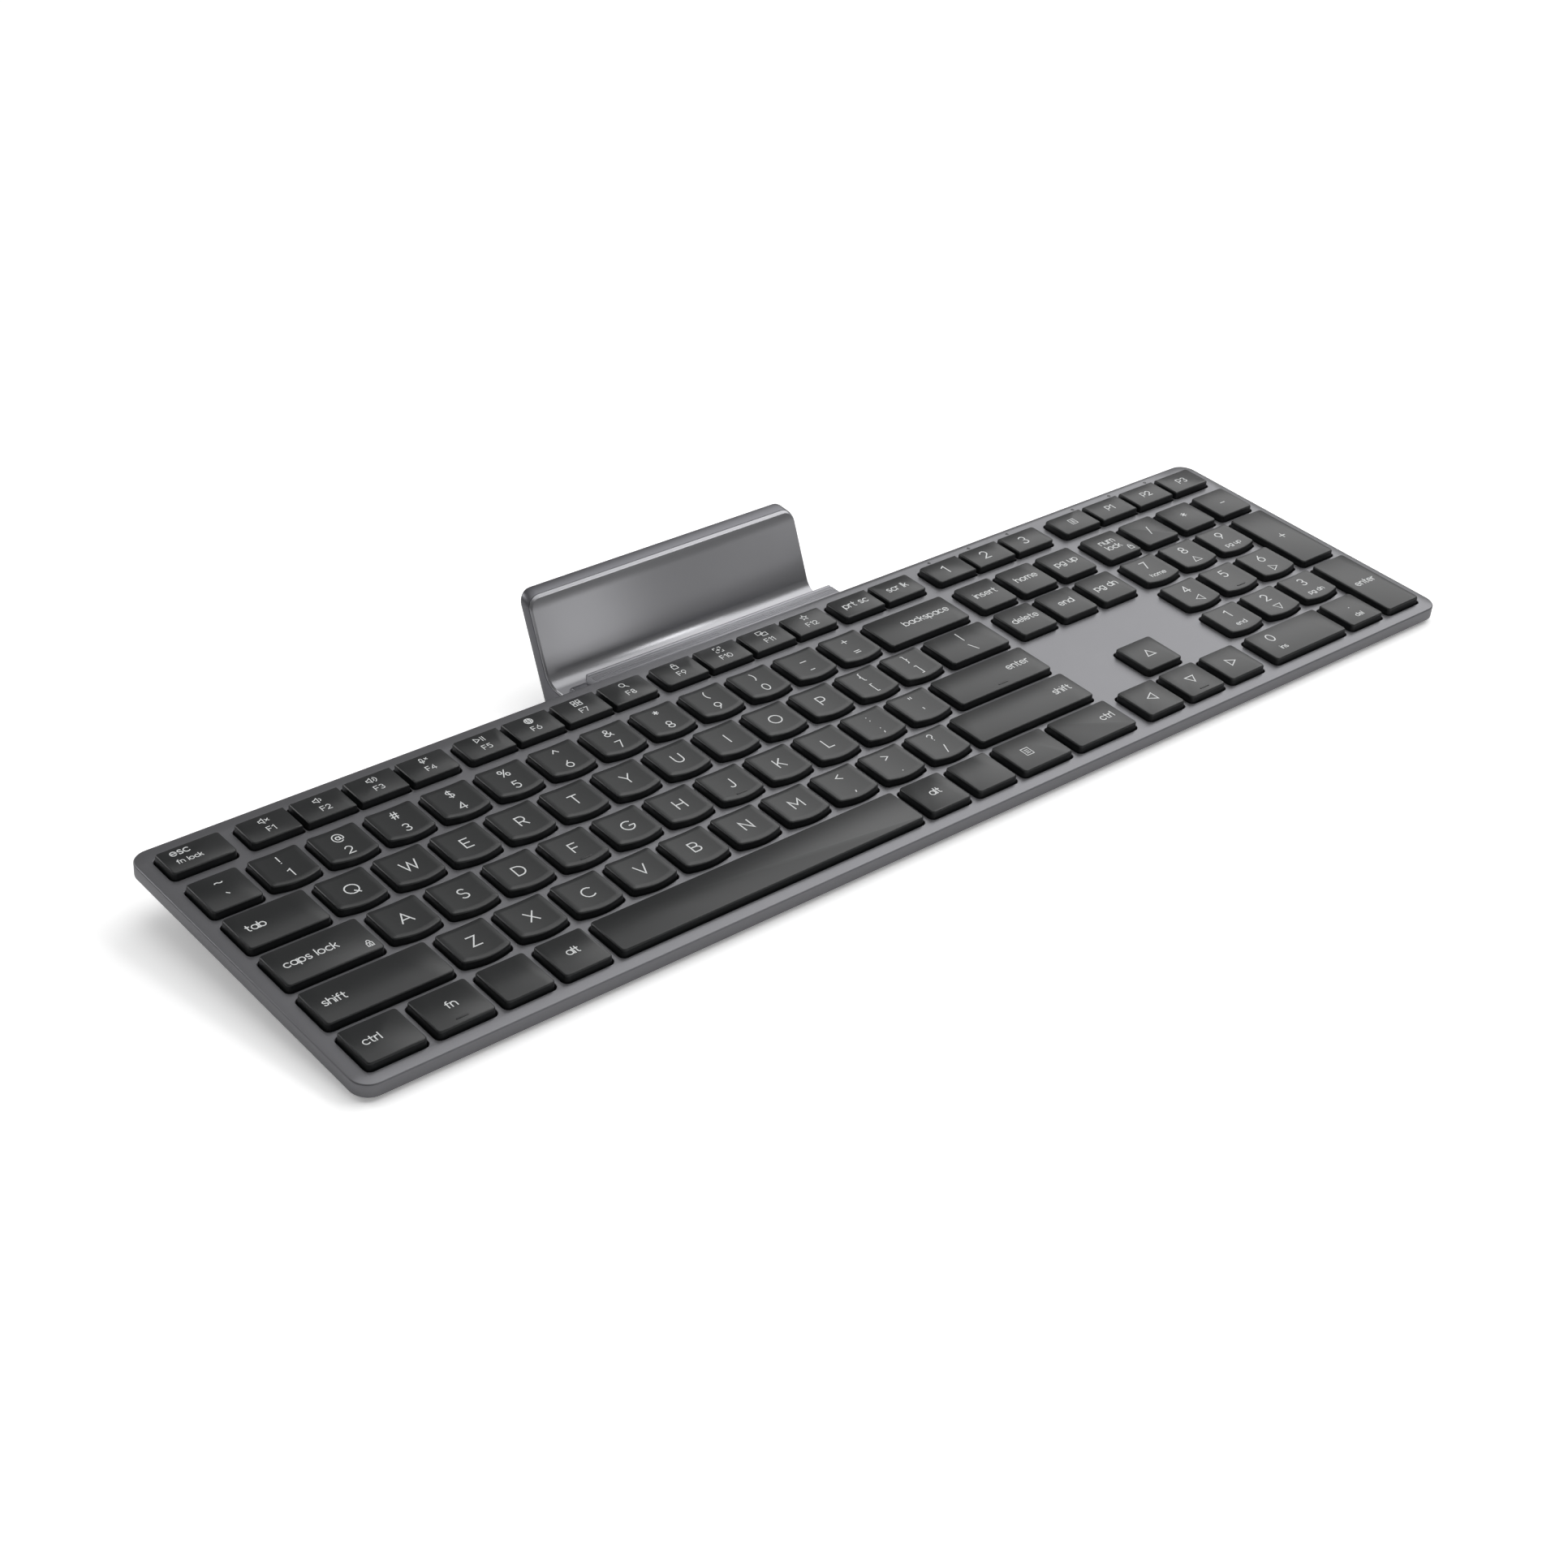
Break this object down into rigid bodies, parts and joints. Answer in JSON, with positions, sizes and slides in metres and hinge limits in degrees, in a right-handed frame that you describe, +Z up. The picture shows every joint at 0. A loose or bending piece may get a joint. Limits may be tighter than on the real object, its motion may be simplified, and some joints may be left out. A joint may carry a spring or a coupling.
{
  "type": "computer keyboard with numeric keypad and cradle",
  "caption": "Low-profile full-size keyboard with a numeric keypad, a metal deck on a raised rear, and a folding cradle behind it that holds a phone or tablet.",
  "frame": {"origin": "bottom centre of the whole keyboard's box, on the desk plane that the feet stand on", "axes": "+X to the right along the keyboard's length, +Y to the rear away from the user, +Z up from the desk; the deck is tilted 6.44 degrees about X with its rear edge raised"},
  "size_m": [0.4316, 0.153, 0.0397],
  "materials": {
    "deck_metal": "anodised, fine satin grain",
    "base_plastic": "moulded, fine texture",
    "membrane_film": "printed clear film",
    "plate_steel": "stamped",
    "dome_rubber": "silicone, satin",
    "scissor_plastic": "moulded",
    "battery_wrap": "shrink film",
    "board_laminate": "solder mask",
    "socket_steel": "drawn shell",
    "switch_plastic": "moulded",
    "light_pipe": "clear moulded",
    "screw_steel": "blackened",
    "foot_rubber": "matt",
    "rail_metal": "brushed along its length",
    "shaft_steel": "ground",
    "cradle_paint": "painted metallic grey",
    "cradle_face": "painted satin metallic grey",
    "keycap_plastic": "fine matt texture"
  },
  "bodies": {
    "case": {"top_case": "deck_metal", "bottom_case": "base_plastic", "membrane": "membrane_film", "switch_plate": "plate_steel", "rubber_domes": "dome_rubber", "scissor_arms": "scissor_plastic", "battery_pack": "battery_wrap", "main_board": "board_laminate", "charging_socket": "socket_steel", "status_lights": "light_pipe", "case_screws": "screw_steel", "front_feet": "foot_rubber", "rear_feet": "foot_rubber", "cradle_rail": "rail_metal", "hinge_ears": "base_plastic", "hinge_shaft": "shaft_steel"},
    "power_switch": {"power_switch": "switch_plastic"},
    "cradle": {"cradle": "cradle_paint", "cradle_pad": "cradle_face"},
    "keys_escape": {"keys_escape": "keycap_plastic"},
    "keys_f1_f4": {"keys_f1_f4": "keycap_plastic"},
    "keys_f5_f8": {"keys_f5_f8": "keycap_plastic"},
    "keys_f9_f12": {"keys_f9_f12": "keycap_plastic"},
    "keys_print_scroll": {"keys_print_scroll": "keycap_plastic"},
    "keys_devices": {"keys_devices": "keycap_plastic"},
    "keys_macro": {"keys_macro": "keycap_plastic"},
    "keys_numbers": {"keys_numbers": "keycap_plastic"},
    "key_backspace": {"key_backspace": "keycap_plastic"},
    "key_tab": {"key_tab": "keycap_plastic"},
    "keys_upper_letters": {"keys_upper_letters": "keycap_plastic"},
    "key_caps_lock": {"key_caps_lock": "keycap_plastic"},
    "keys_home_letters": {"keys_home_letters": "keycap_plastic"},
    "key_enter": {"key_enter": "keycap_plastic"},
    "key_left_shift": {"key_left_shift": "keycap_plastic"},
    "keys_lower_letters": {"keys_lower_letters": "keycap_plastic"},
    "key_right_shift": {"key_right_shift": "keycap_plastic"},
    "keys_left_modifiers": {"keys_left_modifiers": "keycap_plastic"},
    "key_space": {"key_space": "keycap_plastic"},
    "keys_right_modifiers": {"keys_right_modifiers": "keycap_plastic"},
    "keys_navigation": {"keys_navigation": "keycap_plastic"},
    "keys_arrows": {"keys_arrows": "keycap_plastic"},
    "pad_num_lock": {"pad_num_lock": "keycap_plastic"},
    "pad_divide": {"pad_divide": "keycap_plastic"},
    "pad_multiply": {"pad_multiply": "keycap_plastic"},
    "pad_subtract": {"pad_subtract": "keycap_plastic"},
    "pad_add": {"pad_add": "keycap_plastic"},
    "pad_7": {"pad_7": "keycap_plastic"},
    "pad_8": {"pad_8": "keycap_plastic"},
    "pad_9": {"pad_9": "keycap_plastic"},
    "pad_4": {"pad_4": "keycap_plastic"},
    "pad_5": {"pad_5": "keycap_plastic"},
    "pad_6": {"pad_6": "keycap_plastic"},
    "pad_1": {"pad_1": "keycap_plastic"},
    "pad_2": {"pad_2": "keycap_plastic"},
    "pad_3": {"pad_3": "keycap_plastic"},
    "pad_enter": {"pad_enter": "keycap_plastic"},
    "pad_0": {"pad_0": "keycap_plastic"},
    "pad_decimal": {"pad_decimal": "keycap_plastic"}
  },
  "joints": [
    {"name": "keys_escape_press", "type": "slide", "parent": "case", "child": "keys_escape", "axis": [0, 0.1122, -0.9937], "range_m": [0, 0.0016], "stiffness_N_per_m": 300, "springref_m": -0.0008, "deforming": ["rubber_domes", "scissor_arms"]},
    {"name": "keys_f1_f4_press", "type": "slide", "parent": "case", "child": "keys_f1_f4", "axis": [0, 0.1122, -0.9937], "range_m": [0, 0.0016], "stiffness_N_per_m": 300, "springref_m": -0.0008, "deforming": ["rubber_domes", "scissor_arms"]},
    {"name": "keys_f5_f8_press", "type": "slide", "parent": "case", "child": "keys_f5_f8", "axis": [0, 0.1122, -0.9937], "range_m": [0, 0.0016], "stiffness_N_per_m": 300, "springref_m": -0.0008, "deforming": ["rubber_domes", "scissor_arms"]},
    {"name": "keys_f9_f12_press", "type": "slide", "parent": "case", "child": "keys_f9_f12", "axis": [0, 0.1122, -0.9937], "range_m": [0, 0.0016], "stiffness_N_per_m": 300, "springref_m": -0.0008, "deforming": ["rubber_domes", "scissor_arms"]},
    {"name": "keys_print_scroll_press", "type": "slide", "parent": "case", "child": "keys_print_scroll", "axis": [0, 0.1122, -0.9937], "range_m": [0, 0.0016], "stiffness_N_per_m": 300, "springref_m": -0.0008, "deforming": ["rubber_domes", "scissor_arms"]},
    {"name": "keys_devices_press", "type": "slide", "parent": "case", "child": "keys_devices", "axis": [0, 0.1122, -0.9937], "range_m": [0, 0.0016], "stiffness_N_per_m": 300, "springref_m": -0.0008, "deforming": ["rubber_domes", "scissor_arms"]},
    {"name": "keys_macro_press", "type": "slide", "parent": "case", "child": "keys_macro", "axis": [0, 0.1122, -0.9937], "range_m": [0, 0.0016], "stiffness_N_per_m": 300, "springref_m": -0.0008, "deforming": ["rubber_domes", "scissor_arms"]},
    {"name": "keys_numbers_press", "type": "slide", "parent": "case", "child": "keys_numbers", "axis": [0, 0.1122, -0.9937], "range_m": [0, 0.0016], "stiffness_N_per_m": 300, "springref_m": -0.0008, "deforming": ["rubber_domes", "scissor_arms"]},
    {"name": "key_backspace_press", "type": "slide", "parent": "case", "child": "key_backspace", "axis": [0, 0.1122, -0.9937], "range_m": [0, 0.0016], "stiffness_N_per_m": 300, "springref_m": -0.0008, "deforming": ["rubber_domes", "scissor_arms"]},
    {"name": "key_tab_press", "type": "slide", "parent": "case", "child": "key_tab", "axis": [0, 0.1122, -0.9937], "range_m": [0, 0.0016], "stiffness_N_per_m": 300, "springref_m": -0.0008, "deforming": ["rubber_domes", "scissor_arms"]},
    {"name": "keys_upper_letters_press", "type": "slide", "parent": "case", "child": "keys_upper_letters", "axis": [0, 0.1122, -0.9937], "range_m": [0, 0.0016], "stiffness_N_per_m": 300, "springref_m": -0.0008, "deforming": ["rubber_domes", "scissor_arms"]},
    {"name": "key_caps_lock_press", "type": "slide", "parent": "case", "child": "key_caps_lock", "axis": [0, 0.1122, -0.9937], "range_m": [0, 0.0016], "stiffness_N_per_m": 300, "springref_m": -0.0008, "deforming": ["rubber_domes", "scissor_arms"]},
    {"name": "keys_home_letters_press", "type": "slide", "parent": "case", "child": "keys_home_letters", "axis": [0, 0.1122, -0.9937], "range_m": [0, 0.0016], "stiffness_N_per_m": 300, "springref_m": -0.0008, "deforming": ["rubber_domes", "scissor_arms"]},
    {"name": "key_enter_press", "type": "slide", "parent": "case", "child": "key_enter", "axis": [0, 0.1122, -0.9937], "range_m": [0, 0.0016], "stiffness_N_per_m": 300, "springref_m": -0.0008, "deforming": ["rubber_domes", "scissor_arms"]},
    {"name": "key_left_shift_press", "type": "slide", "parent": "case", "child": "key_left_shift", "axis": [0, 0.1122, -0.9937], "range_m": [0, 0.0016], "stiffness_N_per_m": 300, "springref_m": -0.0008, "deforming": ["rubber_domes", "scissor_arms"]},
    {"name": "keys_lower_letters_press", "type": "slide", "parent": "case", "child": "keys_lower_letters", "axis": [0, 0.1122, -0.9937], "range_m": [0, 0.0016], "stiffness_N_per_m": 300, "springref_m": -0.0008, "deforming": ["rubber_domes", "scissor_arms"]},
    {"name": "key_right_shift_press", "type": "slide", "parent": "case", "child": "key_right_shift", "axis": [0, 0.1122, -0.9937], "range_m": [0, 0.0016], "stiffness_N_per_m": 300, "springref_m": -0.0008, "deforming": ["rubber_domes", "scissor_arms"]},
    {"name": "keys_left_modifiers_press", "type": "slide", "parent": "case", "child": "keys_left_modifiers", "axis": [0, 0.1122, -0.9937], "range_m": [0, 0.0016], "stiffness_N_per_m": 300, "springref_m": -0.0008, "deforming": ["rubber_domes", "scissor_arms"]},
    {"name": "key_space_press", "type": "slide", "parent": "case", "child": "key_space", "axis": [0, 0.1122, -0.9937], "range_m": [0, 0.0016], "stiffness_N_per_m": 300, "springref_m": -0.0008, "deforming": ["rubber_domes", "scissor_arms"]},
    {"name": "keys_right_modifiers_press", "type": "slide", "parent": "case", "child": "keys_right_modifiers", "axis": [0, 0.1122, -0.9937], "range_m": [0, 0.0016], "stiffness_N_per_m": 300, "springref_m": -0.0008, "deforming": ["rubber_domes", "scissor_arms"]},
    {"name": "keys_navigation_press", "type": "slide", "parent": "case", "child": "keys_navigation", "axis": [0, 0.1122, -0.9937], "range_m": [0, 0.0016], "stiffness_N_per_m": 300, "springref_m": -0.0008, "deforming": ["rubber_domes", "scissor_arms"]},
    {"name": "keys_arrows_press", "type": "slide", "parent": "case", "child": "keys_arrows", "axis": [0, 0.1122, -0.9937], "range_m": [0, 0.0016], "stiffness_N_per_m": 300, "springref_m": -0.0008, "deforming": ["rubber_domes", "scissor_arms"]},
    {"name": "pad_num_lock_press", "type": "slide", "parent": "case", "child": "pad_num_lock", "axis": [0, 0.1122, -0.9937], "range_m": [0, 0.0016], "stiffness_N_per_m": 300, "springref_m": -0.0008, "deforming": ["rubber_domes", "scissor_arms"]},
    {"name": "pad_divide_press", "type": "slide", "parent": "case", "child": "pad_divide", "axis": [0, 0.1122, -0.9937], "range_m": [0, 0.0016], "stiffness_N_per_m": 300, "springref_m": -0.0008, "deforming": ["rubber_domes", "scissor_arms"]},
    {"name": "pad_multiply_press", "type": "slide", "parent": "case", "child": "pad_multiply", "axis": [0, 0.1122, -0.9937], "range_m": [0, 0.0016], "stiffness_N_per_m": 300, "springref_m": -0.0008, "deforming": ["rubber_domes", "scissor_arms"]},
    {"name": "pad_subtract_press", "type": "slide", "parent": "case", "child": "pad_subtract", "axis": [0, 0.1122, -0.9937], "range_m": [0, 0.0016], "stiffness_N_per_m": 300, "springref_m": -0.0008, "deforming": ["rubber_domes", "scissor_arms"]},
    {"name": "pad_add_press", "type": "slide", "parent": "case", "child": "pad_add", "axis": [0, 0.1122, -0.9937], "range_m": [0, 0.0016], "stiffness_N_per_m": 300, "springref_m": -0.0008, "deforming": ["rubber_domes", "scissor_arms"]},
    {"name": "pad_7_press", "type": "slide", "parent": "case", "child": "pad_7", "axis": [0, 0.1122, -0.9937], "range_m": [0, 0.0016], "stiffness_N_per_m": 300, "springref_m": -0.0008, "deforming": ["rubber_domes", "scissor_arms"]},
    {"name": "pad_8_press", "type": "slide", "parent": "case", "child": "pad_8", "axis": [0, 0.1122, -0.9937], "range_m": [0, 0.0016], "stiffness_N_per_m": 300, "springref_m": -0.0008, "deforming": ["rubber_domes", "scissor_arms"]},
    {"name": "pad_9_press", "type": "slide", "parent": "case", "child": "pad_9", "axis": [0, 0.1122, -0.9937], "range_m": [0, 0.0016], "stiffness_N_per_m": 300, "springref_m": -0.0008, "deforming": ["rubber_domes", "scissor_arms"]},
    {"name": "pad_4_press", "type": "slide", "parent": "case", "child": "pad_4", "axis": [0, 0.1122, -0.9937], "range_m": [0, 0.0016], "stiffness_N_per_m": 300, "springref_m": -0.0008, "deforming": ["rubber_domes", "scissor_arms"]},
    {"name": "pad_5_press", "type": "slide", "parent": "case", "child": "pad_5", "axis": [0, 0.1122, -0.9937], "range_m": [0, 0.0016], "stiffness_N_per_m": 300, "springref_m": -0.0008, "deforming": ["rubber_domes", "scissor_arms"]},
    {"name": "pad_6_press", "type": "slide", "parent": "case", "child": "pad_6", "axis": [0, 0.1122, -0.9937], "range_m": [0, 0.0016], "stiffness_N_per_m": 300, "springref_m": -0.0008, "deforming": ["rubber_domes", "scissor_arms"]},
    {"name": "pad_1_press", "type": "slide", "parent": "case", "child": "pad_1", "axis": [0, 0.1122, -0.9937], "range_m": [0, 0.0016], "stiffness_N_per_m": 300, "springref_m": -0.0008, "deforming": ["rubber_domes", "scissor_arms"]},
    {"name": "pad_2_press", "type": "slide", "parent": "case", "child": "pad_2", "axis": [0, 0.1122, -0.9937], "range_m": [0, 0.0016], "stiffness_N_per_m": 300, "springref_m": -0.0008, "deforming": ["rubber_domes", "scissor_arms"]},
    {"name": "pad_3_press", "type": "slide", "parent": "case", "child": "pad_3", "axis": [0, 0.1122, -0.9937], "range_m": [0, 0.0016], "stiffness_N_per_m": 300, "springref_m": -0.0008, "deforming": ["rubber_domes", "scissor_arms"]},
    {"name": "pad_enter_press", "type": "slide", "parent": "case", "child": "pad_enter", "axis": [0, 0.1122, -0.9937], "range_m": [0, 0.0016], "stiffness_N_per_m": 300, "springref_m": -0.0008, "deforming": ["rubber_domes", "scissor_arms"]},
    {"name": "pad_0_press", "type": "slide", "parent": "case", "child": "pad_0", "axis": [0, 0.1122, -0.9937], "range_m": [0, 0.0016], "stiffness_N_per_m": 300, "springref_m": -0.0008, "deforming": ["rubber_domes", "scissor_arms"]},
    {"name": "pad_decimal_press", "type": "slide", "parent": "case", "child": "pad_decimal", "axis": [0, 0.1122, -0.9937], "range_m": [0, 0.0016], "stiffness_N_per_m": 300, "springref_m": -0.0008, "deforming": ["rubber_domes", "scissor_arms"]},
    {"name": "cradle_lean", "type": "hinge", "parent": "case", "child": "cradle", "pos_m": [-0.0032, 0.04651, 0.01026], "axis": [1, 0, 0], "range_deg": [0, 18]},
    {"name": "power_slide", "type": "slide", "parent": "case", "child": "power_switch", "axis": [1, 0, 0], "range_m": [0, 0.0026]}
  ]
}
